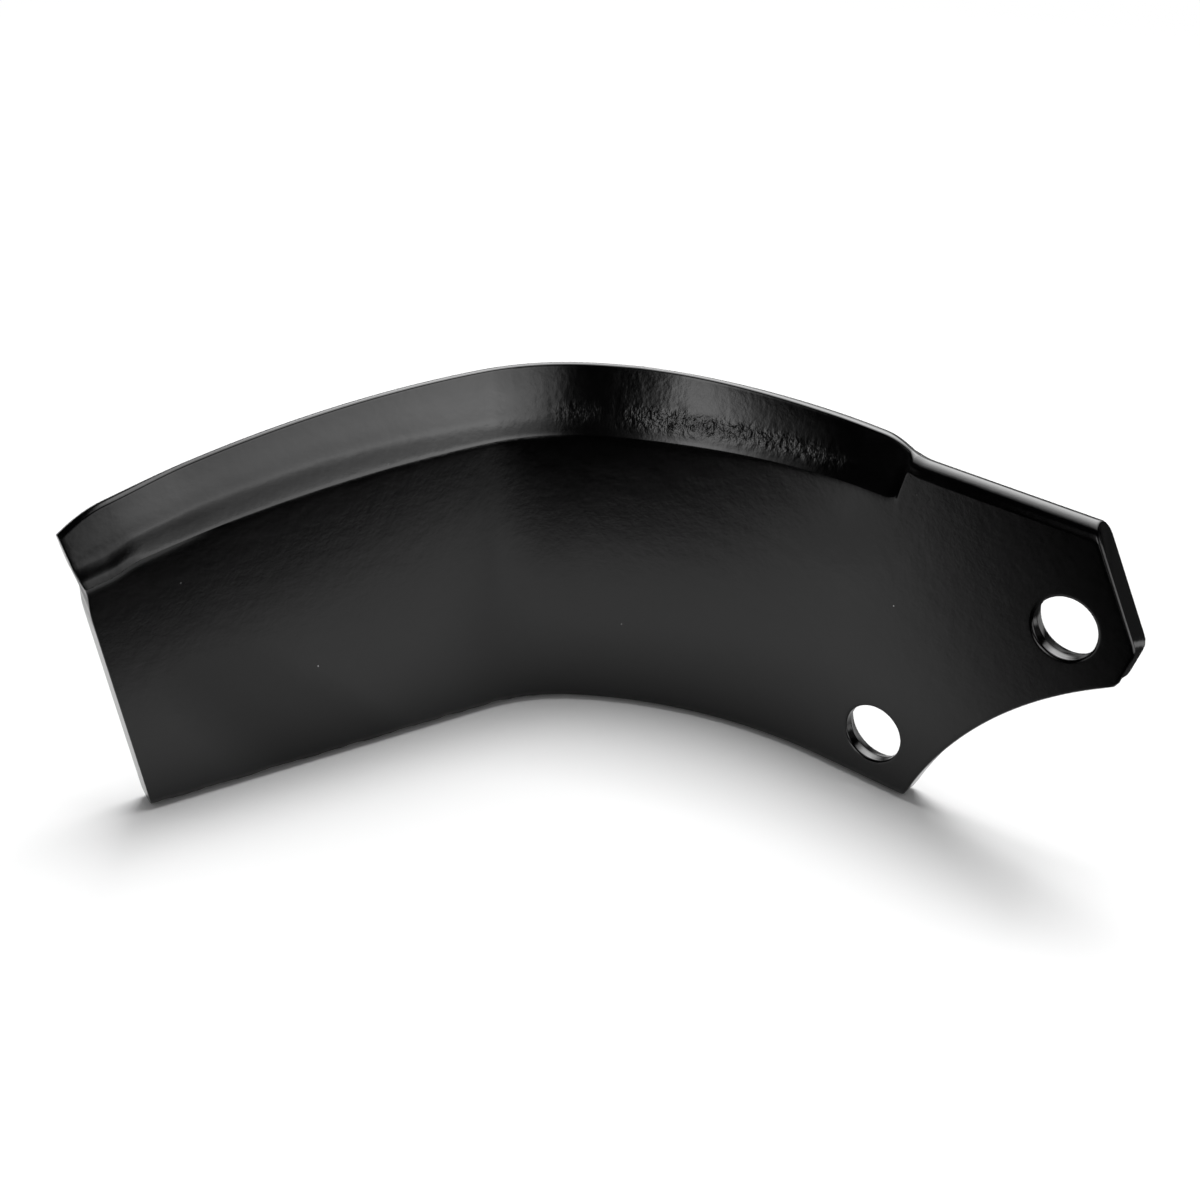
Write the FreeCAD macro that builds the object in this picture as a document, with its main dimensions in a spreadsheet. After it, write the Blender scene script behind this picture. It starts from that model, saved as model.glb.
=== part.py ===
import FreeCAD, Part
import math
import os
import Sketcher

# Blade of a rotary tiller, forged from one length of flat spring steel bar.
# The shank is bolted to the rotor flange with two bolts. The bar then bends twice,
# gently and then tightly, into the leg that cuts and lifts the soil.
# Origin: midway between the two bolt holes, on the back face of the shank,
# which bears on the flange. X runs along the shank towards its cut end,
# Y points into the flange and Z points up from the trailing edge to the cutting edge.
# The concave side of the bend faces -Y.

V = FreeCAD.Vector
doc = FreeCAD.newDocument("TillerBlade")
sheet = doc.addObject("Spreadsheet::Sheet", "dims")

driving = [
    # flat bar
    ("bar_width", 80),
    ("bar_thickness", 6),
    ("base_drop", 35),
    # bolts and rotor
    ("bolt_spacing", 57),
    ("bolt_angle", 49.4),
    ("bolt_hole_diameter", 13.5),
    ("rotor_distance", 94.8),
    ("foot_web", 9.3),
    # shank end and heel
    ("end_distance", 39.9),
    ("end_lean", 30),
    ("corner_distance", 26.9),
    ("corner_lean", 14),
    ("end_corner_radius", 4),
    ("low_corner_radius", 3),
    ("heel_radius", 1.5),
    # bend, radii on the concave face
    ("bend_start", 31.3),
    ("gentle_radius", 92.8),
    ("gentle_angle", 36.2),
    ("tight_radius", 39.2),
    ("tight_angle", 33.9),
    # leg
    ("leg_length", 80.4),
    ("tip_lean", 8.9),
    ("tip_flare_height", 56),
    ("tip_flare_lean", 12.4),
    # forged cutting edge, distances along the concave face from the start of the bend
    ("edge_height", 84.5),
    ("edge_start", 9.8),
    ("shoulder_run", 1.8),
    ("blend_run", 3.4),
    ("blend_rise", 0.4),
    ("step_height", 1.6),
    ("step_run", 7),
    ("step_start", 3),
    ("edge_rise_run", 50),
    ("edge_rise", 1.95),
    ("edge_fall_radius", 285),
    ("band_height", 15),
    ("band_lift", 0.9),
    ("band_follow", 0.82),
    ("hollow_depth", 0.35),
    ("land_thick", 3),
    ("land_thin", 1.8),
    ("land_narrow_start", 10),
    ("land_narrow_run", 35),
    ("land_widen_run", 18),
    ("tip_round_run", 1.8),
    ("tip_round_radius", 19),
    ("lap_drop", 1.2),
    ("lap_run", 7),
    # small roundings
    ("edge_rounding", 0.5),
    ("shear_rounding", 0.4),
    ("hole_rounding", 0.5),
    ("breakout_depth", 3.4),
    ("breakout_high", 1),
    ("breakout_low", 1.6),
]
for row, (name, value) in enumerate(driving, 1):
    sheet.set("A%d" % row, name)
    sheet.set("B%d" % row, str(value))
    sheet.setAlias("B%d" % row, name)
doc.recompute()


def size(name):
    return float(sheet.get(name))


width = size("bar_width")
thick = size("bar_thickness")
floor = -size("base_drop")
gentle = math.radians(size("gentle_angle"))
tight = math.radians(size("tight_angle"))
gentle_run = size("gentle_radius") * gentle
tight_run = size("tight_radius") * tight
bend_run = gentle_run + tight_run
full_turn = gentle + tight
bend_x = -size("bend_start")
margin = thick
tip_start = bend_run + size("leg_length") + size("tip_round_run")

body = doc.addObject("PartDesign::Body", "Blade")
body.Label = "blade"
planes = {}
for feature in body.Origin.OriginFeatures:
    planes[feature.Role] = feature


def new_sketch(name, plane, offset=None):
    sketch = body.newObject("Sketcher::SketchObject", name)
    sketch.AttachmentSupport = (planes[plane], [""])
    sketch.MapMode = "FlatFace"
    if offset is not None:
        sketch.AttachmentOffset = offset
    return sketch


def line(sketch, start, end):
    return sketch.addGeometry(Part.LineSegment(V(start[0], start[1], 0), V(end[0], end[1], 0)), False)


def arc(sketch, centre, radius, first, last):
    circle = Part.Circle(V(centre[0], centre[1], 0), V(0, 0, 1), radius)
    return sketch.addGeometry(Part.ArcOfCircle(circle, first, last), False)


def arc_through(sketch, start, middle, end):
    made = Part.Arc(V(start[0], start[1], 0), V(middle[0], middle[1], 0), V(end[0], end[1], 0))
    return sketch.addGeometry(made, False)


def rule(sketch, kind, *values):
    return sketch.addConstraint(Sketcher.Constraint(kind, *values))


def drive(sketch, name, expression, kind, *values):
    index = rule(sketch, kind, *values)
    sketch.renameConstraint(index, name)
    sketch.setExpression("Constraints." + name, expression)
    return index


# Where the concave face is, at a distance along it from the start of the bend.
# Gives the point and the direction's turn from the shank, in radians.
def along(distance):
    if distance <= 0:
        return (bend_x - distance, -thick), 0.0
    centre = (bend_x, -thick - size("gentle_radius"))
    if distance <= gentle_run:
        turn = distance / size("gentle_radius")
        reach = size("gentle_radius")
        return (centre[0] - reach * math.sin(turn), centre[1] + reach * math.cos(turn)), turn
    shift = size("gentle_radius") - size("tight_radius")
    centre = (centre[0] - shift * math.sin(gentle), centre[1] + shift * math.cos(gentle))
    turn = min(gentle + (distance - gentle_run) / size("tight_radius"), full_turn)
    reach = size("tight_radius")
    point = (centre[0] - reach * math.sin(turn), centre[1] + reach * math.cos(turn))
    rest = max(distance - bend_run, 0.0)
    return (point[0] - rest * math.cos(turn), point[1] - rest * math.sin(turn)), turn


# The bar is swept along the middle of its thickness: shank, gentle bend, tight bend, leg.
route = new_sketch("bar_route", "XY_Plane")
mid_y = -thick / 2
shank_stock = size("end_distance") + margin
gentle_mid = size("gentle_radius") + thick / 2
tight_mid = size("tight_radius") + thick / 2
gentle_centre = (bend_x, mid_y - gentle_mid)
joint = (gentle_centre[0] - gentle_mid * math.sin(gentle), gentle_centre[1] + gentle_mid * math.cos(gentle))
tight_centre = (joint[0] + tight_mid * math.sin(gentle), joint[1] - tight_mid * math.cos(gentle))
leg_top = (tight_centre[0] - tight_mid * math.sin(full_turn),
           tight_centre[1] + tight_mid * math.cos(full_turn))
leg_stock = size("leg_length") + width * math.tan(math.radians(size("tip_lean"))) + margin
leg_end = (leg_top[0] - leg_stock * math.cos(full_turn), leg_top[1] - leg_stock * math.sin(full_turn))
quarter = math.pi / 2
line(route, (shank_stock, mid_y), (bend_x, mid_y))
arc(route, gentle_centre, gentle_mid, quarter, quarter + gentle)
arc(route, tight_centre, tight_mid, quarter + gentle, quarter + full_turn)
line(route, leg_top, leg_end)
rule(route, "Horizontal", 0)
rule(route, "Tangent", 0, 2, 1, 1)
rule(route, "Tangent", 1, 2, 2, 1)
rule(route, "Tangent", 2, 2, 3, 1)
drive(route, "stock_x", "dims.end_distance + dims.bar_thickness", "DistanceX", -1, 1, 0, 1, shank_stock)
drive(route, "middle_y", "dims.bar_thickness / 2", "DistanceY", 0, 1, -1, 1, thick / 2)
drive(route, "bend_x", "dims.bend_start", "DistanceX", 0, 2, -1, 1, -bend_x)
drive(route, "gentle_mid", "dims.gentle_radius + dims.bar_thickness / 2", "Radius", 1, gentle_mid)
drive(route, "tight_mid", "dims.tight_radius + dims.bar_thickness / 2", "Radius", 2, tight_mid)
drive(route, "gentle_turn", "dims.gentle_angle * 1 deg", "Angle", 1, gentle)
drive(route, "tight_turn", "dims.tight_angle * 1 deg", "Angle", 2, tight)
drive(route, "leg_stock",
      "dims.leg_length + dims.bar_width * tan(dims.tip_lean * 1 deg) + dims.bar_thickness",
      "Distance", 3, leg_stock)

# Section of the stock: straight sides, a full round along the trailing edge,
# and height to spare along the cutting edge.
stock_top = floor + size("edge_height") + margin
section = new_sketch("bar_section", "YZ_Plane", FreeCAD.Placement(V(0, 0, shank_stock), FreeCAD.Rotation()))
section.setExpression(".AttachmentOffset.Base.z", "dims.end_distance + dims.bar_thickness")
round_z = floor + thick / 2
arc(section, (mid_y, round_z), thick / 2, math.pi, 2 * math.pi)
line(section, (0, round_z), (0, stock_top))
line(section, (0, stock_top), (-thick, stock_top))
line(section, (-thick, stock_top), (-thick, round_z))
rule(section, "Tangent", 0, 2, 1, 1)
rule(section, "Coincident", 1, 2, 2, 1)
rule(section, "Coincident", 2, 2, 3, 1)
rule(section, "Tangent", 3, 2, 0, 1)
rule(section, "Vertical", 1)
rule(section, "Vertical", 3)
rule(section, "Horizontal", 2)
rule(section, "PointOnObject", 1, 1, -2)
drive(section, "stock_thick", "dims.bar_thickness", "DistanceX", 2, 2, 2, 1, thick)
drive(section, "round_height", "dims.base_drop - dims.bar_thickness / 2",
      "DistanceY", 0, 3, -1, 1, -round_z)
drive(section, "stock_height", "dims.edge_height + dims.bar_thickness / 2", "DistanceY", 1, 1, 1, 2,
      stock_top - round_z)

bar = body.newObject("PartDesign::AdditivePipe", "bent_bar")
bar.Profile = section
bar.Spine = (route, ["Edge1", "Edge2", "Edge3", "Edge4"])
bar.Mode = "Frenet"
doc.recompute()

# Outline of the shank: slanted sheared end, clipped corner, scallop round the rotor tube, heel.
bolt_turn = math.radians(size("bolt_angle"))
rotor = (size("rotor_distance") * math.sin(bolt_turn), -size("rotor_distance") * math.cos(bolt_turn))
lean = math.radians(size("end_lean"))
clip = math.radians(-size("corner_lean"))
scallop = size("rotor_distance") - size("foot_web")
high_round = size("end_corner_radius")
low_round = size("low_corner_radius")
heel = size("heel_radius")


def polar(centre, reach, turn):
    return (centre[0] + reach * math.cos(turn), centre[1] + reach * math.sin(turn))


# centre of the round between the slanted end and the clipped corner
end_reach = size("end_distance") - high_round
clip_reach = size("corner_distance") - high_round
sweep = math.sin(lean - clip)
high_centre = ((clip_reach * math.sin(lean) - end_reach * math.sin(clip)) / sweep,
               (end_reach * math.cos(clip) - clip_reach * math.cos(lean)) / sweep)
# centre of the round between the clipped corner and the scallop
low_reach = size("corner_distance") - low_round
across = rotor[0] * math.cos(clip) + rotor[1] * math.sin(clip)
beside = rotor[1] * math.cos(clip) - rotor[0] * math.sin(clip)
slide = beside + math.sqrt((scallop + low_round) ** 2 - (low_reach - across) ** 2)
low_centre = (low_reach * math.cos(clip) - slide * math.sin(clip),
              low_reach * math.sin(clip) + slide * math.cos(clip))
low_turn = math.atan2(rotor[1] - low_centre[1], rotor[0] - low_centre[0])
# centre of the round at the heel, which lies on the trailing edge
heel_centre = (rotor[0] - math.sqrt((scallop + heel) ** 2 - (floor + heel - rotor[1]) ** 2), floor + heel)
heel_turn = math.atan2(rotor[1] - heel_centre[1], rotor[0] - heel_centre[0])
heel_last = math.radians(-60)
sky = stock_top + margin
far_x = shank_stock + margin
end_low = polar(high_centre, high_round, lean)
end_high = (end_low[0] - math.tan(lean) * (sky - end_low[1]), sky)
heel_out = polar(heel_centre, heel, heel_last)
heel_flat = polar(heel_out, margin, math.radians(-150))
outline = new_sketch("shank_outline", "XZ_Plane")
line(outline, end_high, end_low)
arc(outline, high_centre, high_round, clip, lean)
line(outline, polar(high_centre, high_round, clip), polar(low_centre, low_round, clip))
arc(outline, low_centre, low_round, low_turn, clip)
arc(outline, rotor, scallop, low_turn + math.pi, heel_turn + math.pi)
arc(outline, heel_centre, heel, heel_last, heel_turn)
line(outline, heel_out, heel_flat)
line(outline, heel_flat, (far_x, heel_flat[1]))
line(outline, (far_x, heel_flat[1]), (far_x, sky))
line(outline, (far_x, sky), end_high)
rule(outline, "Tangent", 0, 2, 1, 2)
rule(outline, "Tangent", 1, 1, 2, 1)
rule(outline, "Tangent", 2, 2, 3, 2)
rule(outline, "Tangent", 3, 1, 4, 1)
rule(outline, "Tangent", 4, 2, 5, 2)
rule(outline, "Tangent", 5, 1, 6, 1)
rule(outline, "Coincident", 6, 2, 7, 1)
rule(outline, "Coincident", 7, 2, 8, 1)
rule(outline, "Coincident", 8, 2, 9, 1)
rule(outline, "Coincident", 9, 2, 0, 1)
rule(outline, "Horizontal", 7)
rule(outline, "Vertical", 8)
rule(outline, "Horizontal", 9)
rule(outline, "Angle", 6, math.radians(-150))
drive(outline, "heel_lead", "dims.bar_thickness", "Distance", 6, margin)
drive(outline, "rotor_x", "dims.rotor_distance * sin(dims.bolt_angle * 1 deg)",
      "DistanceX", -1, 1, 4, 3, rotor[0])
drive(outline, "rotor_z", "dims.rotor_distance * cos(dims.bolt_angle * 1 deg)",
      "DistanceY", 4, 3, -1, 1, -rotor[1])
drive(outline, "scallop", "dims.rotor_distance - dims.foot_web", "Radius", 4, scallop)
drive(outline, "high_round", "dims.end_corner_radius", "Radius", 1, high_round)
drive(outline, "low_round", "dims.low_corner_radius", "Radius", 3, low_round)
drive(outline, "heel", "dims.heel_radius", "Radius", 5, heel)
drive(outline, "heel_height", "dims.base_drop - dims.heel_radius",
      "DistanceY", 5, 3, -1, 1, -heel_centre[1])
drive(outline, "end_reach", "dims.end_distance", "Distance", -1, 1, 0, size("end_distance"))
drive(outline, "end_slope", "dims.end_lean * 1 deg - 90 deg", "Angle", 0, lean - quarter)
drive(outline, "clip_reach", "dims.corner_distance", "Distance", -1, 1, 2, size("corner_distance"))
drive(outline, "clip_slope", "-90 deg - dims.corner_lean * 1 deg", "Angle", 2, clip - quarter)
drive(outline, "far_x", "dims.end_distance + 2 * dims.bar_thickness", "DistanceX", -1, 1, 8, 1, far_x)
drive(outline, "sky", "dims.edge_height - dims.base_drop + 2 * dims.bar_thickness",
      "DistanceY", -1, 1, 8, 2, sky)
cut_end = body.newObject("PartDesign::Pocket", "shank_cut")
cut_end.Profile = outline
cut_end.Type = 1
cut_end.Midplane = True
doc.recompute()

# Tip of the leg: sheared across, leaning outwards towards the cutting edge.
leg_foot, _ = along(bend_run)
tip_plane = FreeCAD.Placement(V(leg_foot[0], 0, -leg_foot[1]),
                              FreeCAD.Rotation(V(0, 1, 0), 180 + math.degrees(full_turn)))
tip = new_sketch("tip_outline", "XZ_Plane", tip_plane)
tip.setExpression(".AttachmentOffset.Rotation.Angle",
                  "180 deg + (dims.gentle_angle + dims.tight_angle) * 1 deg")
tip_lean = math.radians(size("tip_lean"))
flare_lean = math.radians(size("tip_flare_lean"))
flare = size("tip_flare_height")
below = floor - margin
tip_low = (size("leg_length") - margin * math.tan(tip_lean), below)
tip_mid = (size("leg_length") + flare * math.tan(tip_lean), floor + flare)
tip_high = (tip_mid[0] + (sky - tip_mid[1]) * math.tan(flare_lean), sky)
far = leg_stock + 3 * margin
line(tip, tip_low, tip_mid)
line(tip, tip_mid, tip_high)
line(tip, tip_high, (far, sky))
line(tip, (far, sky), (far, below))
line(tip, (far, below), tip_low)
rule(tip, "Coincident", 0, 2, 1, 1)
rule(tip, "Coincident", 1, 2, 2, 1)
rule(tip, "Coincident", 2, 2, 3, 1)
rule(tip, "Coincident", 3, 2, 4, 1)
rule(tip, "Coincident", 4, 2, 0, 1)
rule(tip, "Horizontal", 2)
rule(tip, "Vertical", 3)
rule(tip, "Horizontal", 4)
drive(tip, "tip_x", "dims.leg_length - dims.bar_thickness * tan(dims.tip_lean * 1 deg)",
      "DistanceX", -1, 1, 0, 1, tip_low[0])
drive(tip, "tip_z", "dims.base_drop + dims.bar_thickness", "DistanceY", 0, 1, -1, 1, -below)
drive(tip, "tip_slope", "90 deg - dims.tip_lean * 1 deg", "Angle", 0, quarter - tip_lean)
drive(tip, "flare_height", "dims.tip_flare_height + dims.bar_thickness",
      "DistanceY", 0, 1, 0, 2, flare + margin)
drive(tip, "flare_slope", "90 deg - dims.tip_flare_lean * 1 deg", "Angle", 1, quarter - flare_lean)
drive(tip, "tip_sky", "dims.edge_height - dims.base_drop + 2 * dims.bar_thickness",
      "DistanceY", -1, 1, 1, 2, sky)
drive(tip, "tip_far",
      "dims.leg_length + dims.bar_width * tan(dims.tip_lean * 1 deg) + 4 * dims.bar_thickness",
      "DistanceX", -1, 1, 3, 1, far)
cut_tip = body.newObject("PartDesign::Pocket", "tip_cut")
cut_tip.Profile = tip
cut_tip.Type = 1
cut_tip.Midplane = True
doc.recompute()

# Each section across the bar gives what is forged away above it: outside the full round
# along the shank, and outside the hollow bevel and the blunt land beyond the shoulder.
overlap = thick / 50
sliver = thick / 60


def ease(value):
    value = min(max(value, 0.0), 1.0)
    return value * value * (3 - 2 * value)


def edge_fall(distance):
    return max(distance - bend_run, 0) ** 2 / (2 * size("edge_fall_radius"))


def edge_top(distance):
    rise_run = size("edge_rise_run")
    before_rise = max(rise_run - distance, 0) / (rise_run + size("step_start"))
    into_step = min((distance + size("step_start")) / size("step_run"), 0)
    past_tip = max(distance - tip_start, 0) ** 2 / (2 * size("tip_round_radius"))
    lowering = size("edge_rise") * before_rise + size("step_height") * into_step ** 2
    return floor + size("edge_height") - lowering - edge_fall(distance) - past_tip


def band_bottom(distance):
    lap = size("lap_drop") * ease((distance - tip_start) / size("lap_run") + 0.7)
    rise_run = size("edge_rise_run")
    lift = size("band_lift") * ease((rise_run - distance) / (rise_run + size("edge_start")))
    depth = size("band_height") - lift + size("band_follow") * edge_fall(distance) + lap
    return floor + size("edge_height") - depth


def land_width(distance):
    near_shank = ease(1 - (distance - size("land_narrow_start")) / size("land_narrow_run"))
    near_tip = ease((distance - tip_start) / size("land_widen_run") + 1)
    return size("land_thin") + (size("land_thick") - size("land_thin")) * max(near_shank, near_tip)


def die_section(name, distance, raised=None):
    point, turn = along(distance)
    place = FreeCAD.Placement(V(point[1], 0, point[0]), FreeCAD.Rotation(V(0, 1, 0), math.degrees(turn)))
    sketch = new_sketch(name, "YZ_Plane", place)
    slant = math.sqrt(0.5)
    lead = thick / 4
    if raised is None:
        # hollow bevel and blunt land
        soft = size("edge_rounding")
        top = edge_top(distance)
        low = band_bottom(distance)
        inner = thick - land_width(distance)
        rise = (top - low) / inner
        start = (-lead, low - lead * rise * 0.85)
        back = soft / math.hypot(inner, top - low)
        lip = (inner - back * inner, top - back * (top - low))
        lip_mid = (inner - back * inner * 0.15 + soft * 0.12, top - back * (top - low) * 0.35)
        land_in = (inner + soft, top)
        hollow = size("hollow_depth")
    else:
        # full round along the shank
        soft = thick / 2 - sliver
        top = floor + width + raised
        reach = soft + overlap
        start = (-lead, top - reach)
        lip = (soft - reach, top - reach)
        lip_mid = (soft - reach * slant, top - reach * (1 - slant))
        land_in = (soft, top)
        hollow = sliver / 5
    span = math.hypot(lip[0] - start[0], lip[1] - start[1])
    hollow_mid = ((start[0] + lip[0]) / 2 + hollow * (lip[1] - start[1]) / span,
                  (start[1] + lip[1]) / 2 - hollow * (lip[0] - start[0]) / span)
    land_out = (thick - soft, top)
    reach = soft + overlap
    out_mid = (land_out[0] + reach * slant, top - reach * (1 - slant))
    out_end = (land_out[0] + reach, top - reach)
    back_end = (thick + 2 * lead, out_end[1])
    arc_through(sketch, start, hollow_mid, lip)
    arc_through(sketch, lip, lip_mid, land_in)
    line(sketch, land_in, land_out)
    arc_through(sketch, land_out, out_mid, out_end)
    line(sketch, out_end, back_end)
    line(sketch, back_end, (back_end[0], sky))
    line(sketch, (back_end[0], sky), (start[0], sky))
    line(sketch, (start[0], sky), start)
    return sketch


shoulder = -size("edge_start")
shoulder_far = shoulder - size("shoulder_run")
blend_run = size("blend_run")
round_end = shoulder_far - blend_run
shank_die = die_section("shank_round", round_end, 0)
cut_round = body.newObject("PartDesign::Pocket", "shank_round_cut")
cut_round.Profile = shank_die
cut_round.Type = 0
cut_round.Reversed = True
cut_round.Length = shank_stock + size("bend_start")
cut_round.setExpression("Length", "dims.end_distance + dims.bend_start + dims.bar_thickness")
doc.recompute()

blend_die = die_section("blend_round", shoulder_far - blend_run * 0.45, size("blend_rise") * 0.25)
shoulder_die = die_section("shoulder_round", shoulder_far, size("blend_rise"))
blend_cut = body.newObject("PartDesign::SubtractiveLoft", "blend_cut")
blend_cut.Profile = shank_die
blend_cut.Sections = [blend_die, shoulder_die]
blend_cut.Ruled = False
doc.recompute()

stations = [shoulder, shoulder * 2 / 3, shoulder * 0.3]
stations += [gentle_run * share for share in (0.1, 0.3, 0.55, 0.78, 1)]
stations += [gentle_run + tight_run * share for share in (0.33, 0.67, 1)]
leg_shares = (0.16, 0.35, 0.55, 0.75, 0.87, 0.97, 1.04, 1.11, 1.17, 1.3)
stations += [bend_run + size("leg_length") * share for share in leg_shares]
dies = [die_section("die_%02d" % number, station) for number, station in enumerate(stations)]
shoulder_cut = body.newObject("PartDesign::SubtractiveLoft", "shoulder_cut")
shoulder_cut.Profile = shoulder_die
shoulder_cut.Sections = [dies[0]]
shoulder_cut.Ruled = True
doc.recompute()
bevel_cut = body.newObject("PartDesign::SubtractiveLoft", "bevel_cut")
bevel_cut.Profile = dies[0]
bevel_cut.Sections = dies[1:]
bevel_cut.Ruled = False
doc.recompute()


def edge_names(shape, wanted):
    names = []
    for number, edge in enumerate(shape.Edges, 1):
        if wanted(edge):
            names.append("Edge%d" % number)
    return names


# The sheared end, clipped corner, scallop and heel have their two edges broken.
def is_shank_wall(face):
    low_u, high_u, low_v, high_v = face.ParameterRange
    normal = face.normalAt((low_u + high_u) / 2, (low_v + high_v) / 2)
    flat_wall = isinstance(face.Surface, Part.Plane) and abs(normal.y) < 0.001 and normal.x > 0.3
    round_wall = isinstance(face.Surface, Part.Cylinder) and abs(face.Surface.Axis.y) > 0.999
    return flat_wall or round_wall


sheared = []
for wall in bevel_cut.Shape.Faces:
    if is_shank_wall(wall):
        sheared += wall.Edges


def is_sheared(edge):
    tangent = edge.tangentAt(edge.FirstParameter)
    straight_through = isinstance(edge.Curve, Part.Line) and abs(tangent.y) > 0.999
    return not straight_through and any(edge.isSame(other) for other in sheared)


shear_round = body.newObject("PartDesign::Fillet", "shear_round")
shear_round.Base = (bevel_cut, edge_names(bevel_cut.Shape, is_sheared))
shear_round.Radius = size("shear_rounding")
shear_round.setExpression("Radius", "dims.shear_rounding")
doc.recompute()

# Two punched bolt holes on a slanted line through the origin.
holes = new_sketch("bolt_holes", "XZ_Plane")
half = size("bolt_spacing") / 2
hole_high = (half * math.cos(bolt_turn), half * math.sin(bolt_turn))
hole_low = (-hole_high[0], -hole_high[1])
radius = size("bolt_hole_diameter") / 2
holes.addGeometry(Part.Circle(V(hole_high[0], hole_high[1], 0), V(0, 0, 1), radius), False)
holes.addGeometry(Part.Circle(V(hole_low[0], hole_low[1], 0), V(0, 0, 1), radius), False)
drive(holes, "high_x", "dims.bolt_spacing / 2 * cos(dims.bolt_angle * 1 deg)",
      "DistanceX", -1, 1, 0, 3, hole_high[0])
drive(holes, "high_z", "dims.bolt_spacing / 2 * sin(dims.bolt_angle * 1 deg)",
      "DistanceY", -1, 1, 0, 3, hole_high[1])
rule(holes, "Symmetric", 0, 3, 1, 3, -1, 1)
rule(holes, "Equal", 0, 1)
drive(holes, "hole", "dims.bolt_hole_diameter / 2", "Radius", 0, radius)
cut_holes = body.newObject("PartDesign::Pocket", "hole_cut")
cut_holes.Profile = holes
cut_holes.Type = 1
cut_holes.Midplane = True
doc.recompute()

# Behind its burnished half each punched hole breaks out into a wider cone.
last_cut = cut_holes
for name, centre, sign in (("high", hole_high, ""), ("low", hole_low, "-")):
    cone = new_sketch("breakout_ring_" + name, "XZ_Plane")
    flare_out = size("breakout_" + name)
    cone.addGeometry(Part.Circle(V(centre[0], centre[1], 0), V(0, 0, 1), radius + flare_out), False)
    sign_x = sign + "dims.bolt_spacing / 2 * cos(dims.bolt_angle * 1 deg)"
    sign_z = sign + "dims.bolt_spacing / 2 * sin(dims.bolt_angle * 1 deg)"
    drive(cone, "ring_x", sign_x, "DistanceX", -1, 1, 0, 3, centre[0])
    drive(cone, "ring_z", sign_z, "DistanceY", -1, 1, 0, 3, centre[1])
    drive(cone, "ring", "dims.bolt_hole_diameter / 2 + dims.breakout_" + name,
          "Radius", 0, radius + flare_out)
    cone_cut = body.newObject("PartDesign::Pocket", "breakout_" + name)
    cone_cut.Profile = cone
    cone_cut.Type = 0
    cone_cut.Length = size("breakout_depth")
    cone_cut.setExpression("Length", "dims.breakout_depth")
    cone_cut.Reversed = True
    cone_cut.TaperAngle = -math.degrees(math.atan(flare_out / size("breakout_depth")))
    cone_cut.setExpression("TaperAngle", "-atan(dims.breakout_%s / dims.breakout_depth)" % name)
    doc.recompute()
    last_cut = cone_cut


def is_rim(edge):
    if not isinstance(edge.Curve, Part.Circle):
        return False
    on_face = abs(edge.Curve.Center.y + thick) < 0.01
    return on_face and abs(edge.Curve.Radius - radius) < 0.01


# The near rim of each hole is rolled in by the punch.
rims = edge_names(last_cut.Shape, is_rim)
rim_round = body.newObject("PartDesign::Fillet", "rim_round")
rim_round.Base = (last_cut, rims)
rim_round.Radius = size("hole_rounding")
rim_round.setExpression("Radius", "dims.hole_rounding")
doc.recompute()

# Nothing is written unless every step of the model is sound.
for item in doc.Objects:
    if "Invalid" in item.State or "Error" in item.State:
        raise ValueError("unsound step: " + item.Name)
if body.Shape.isNull() or not body.Shape.isValid() or len(body.Shape.Solids) != 1:
    raise ValueError("the blade is not one sound solid")

os.makedirs("parts", exist_ok=True)
body.Shape.exportStep("parts/" + body.Label + ".step")
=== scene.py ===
import math

import bmesh
import bpy
import numpy as np
from mathutils import Matrix, Vector


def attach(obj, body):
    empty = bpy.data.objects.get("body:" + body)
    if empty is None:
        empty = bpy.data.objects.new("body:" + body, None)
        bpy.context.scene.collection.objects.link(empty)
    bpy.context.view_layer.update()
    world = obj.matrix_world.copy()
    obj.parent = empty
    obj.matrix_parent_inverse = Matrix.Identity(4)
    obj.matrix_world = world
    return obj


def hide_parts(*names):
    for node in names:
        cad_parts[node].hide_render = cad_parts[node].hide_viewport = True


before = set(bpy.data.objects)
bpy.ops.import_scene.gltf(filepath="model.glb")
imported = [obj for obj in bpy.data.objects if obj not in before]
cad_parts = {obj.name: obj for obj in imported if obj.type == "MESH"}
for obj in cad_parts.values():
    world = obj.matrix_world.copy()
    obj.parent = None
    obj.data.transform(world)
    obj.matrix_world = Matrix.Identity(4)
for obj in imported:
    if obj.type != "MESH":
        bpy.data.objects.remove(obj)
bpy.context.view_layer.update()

# The part is a rotary tiller blade: flat bar with full-round edges, bent to an L, with a forged bevel along
# the top. Sizes are in millimetres and are those of the CAD part. "Run" is the length along the concave face
# from the start of the bend, "off" is the distance from that face towards the convex one.
FLOOR = -35.0
WIDTH = 80.0
THICK = 6.0
ROUND_R = THICK / 2
BEND_X = -31.3
GENTLE_R = 92.8
GENTLE_T = math.radians(36.2)
TIGHT_R = 39.2
TIGHT_T = math.radians(33.9)
FULL_T = GENTLE_T + TIGHT_T
GENTLE_RUN = GENTLE_R * GENTLE_T
BEND_RUN = GENTLE_RUN + TIGHT_R * TIGHT_T
LEG = 80.4

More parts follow.
